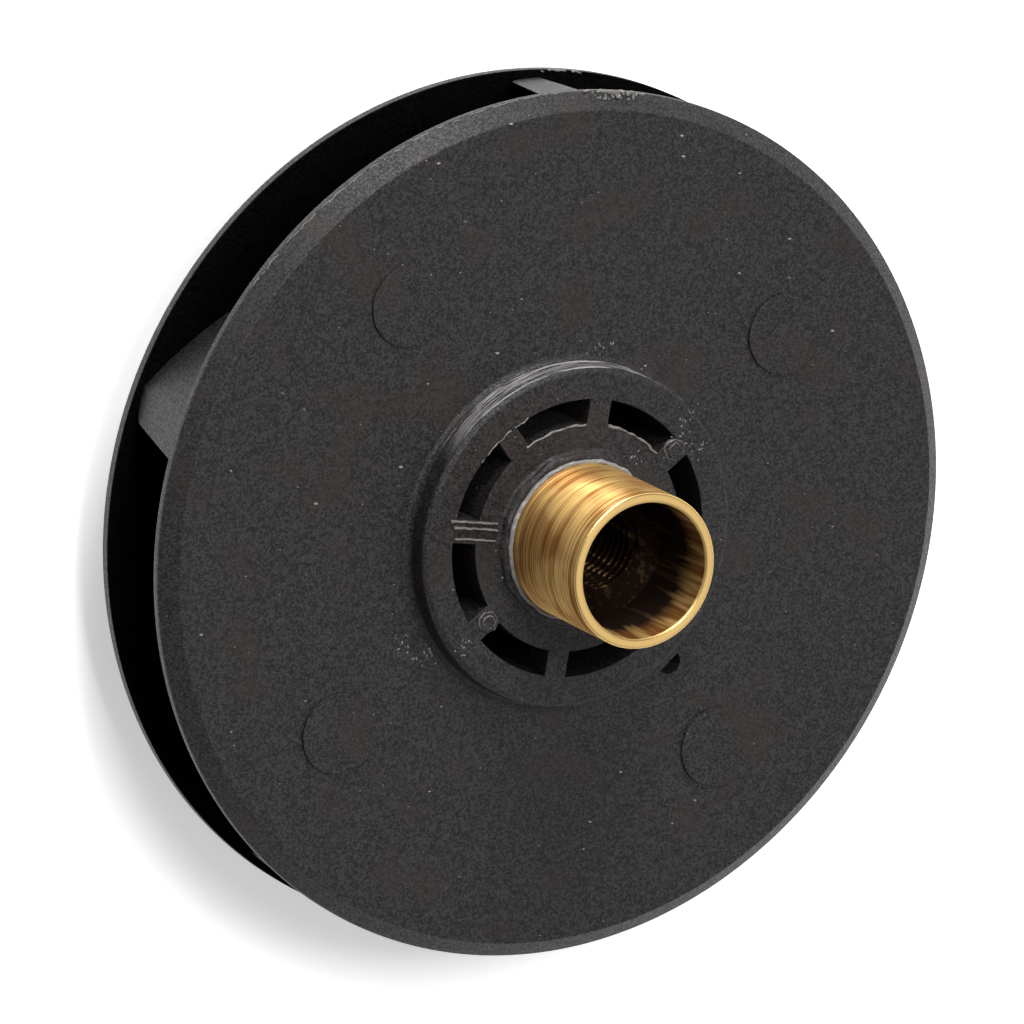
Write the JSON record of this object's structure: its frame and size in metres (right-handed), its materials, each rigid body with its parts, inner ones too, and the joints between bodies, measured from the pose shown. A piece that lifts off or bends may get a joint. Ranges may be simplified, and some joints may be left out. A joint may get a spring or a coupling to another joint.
{
  "type": "pump impeller",
  "caption": "Closed centrifugal pump impeller in black moulded plastic, with curved vanes between two shrouds and a brass sleeve with a threaded shaft bore.",
  "frame": {"origin": "centre of the eye ring's end face, on the axis of rotation, where the impeller rests", "axes": "+Z along the axis of rotation towards the brass sleeve, +X through the middle of one spoke of the hub"},
  "size_m": [0.107, 0.107, 0.0451],
  "materials": {
    "black_plastic": "matte as moulded, glass-filled",
    "brass": "turned, tarnished"
  },
  "bodies": {
    "root": {"vaned_back_shroud": "black_plastic", "front_shroud": "black_plastic", "brass_insert": "brass"}
  },
  "joints": []
}
